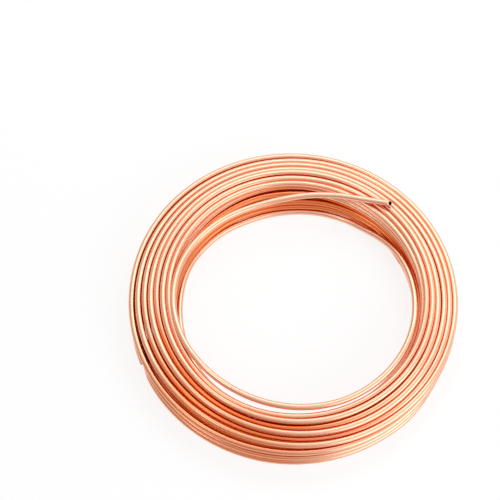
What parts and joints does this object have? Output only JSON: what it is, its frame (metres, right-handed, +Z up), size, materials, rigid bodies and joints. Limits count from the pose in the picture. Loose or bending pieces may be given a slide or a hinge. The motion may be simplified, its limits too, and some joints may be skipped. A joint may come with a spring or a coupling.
{
  "type": "copper tube coil",
  "caption": "Coil of soft copper tube lying flat, its inner end lifted clear of the turns for a fitting and its outer end tucked at the base",
  "frame": {"origin": "on the coil's axis, at the level of the floor that it lies on", "axes": "+Z up, along the axis that the tube is wound around; +X to the right and +Y away from the viewer of the picture"},
  "size_m": [0.32, 0.32, 0.0456],
  "materials": {
    "copper": "bright drawn copper, softly glossy, slightly oxidised between the turns"
  },
  "bodies": {
    "root": {"copper_tube": "copper"}
  },
  "joints": []
}
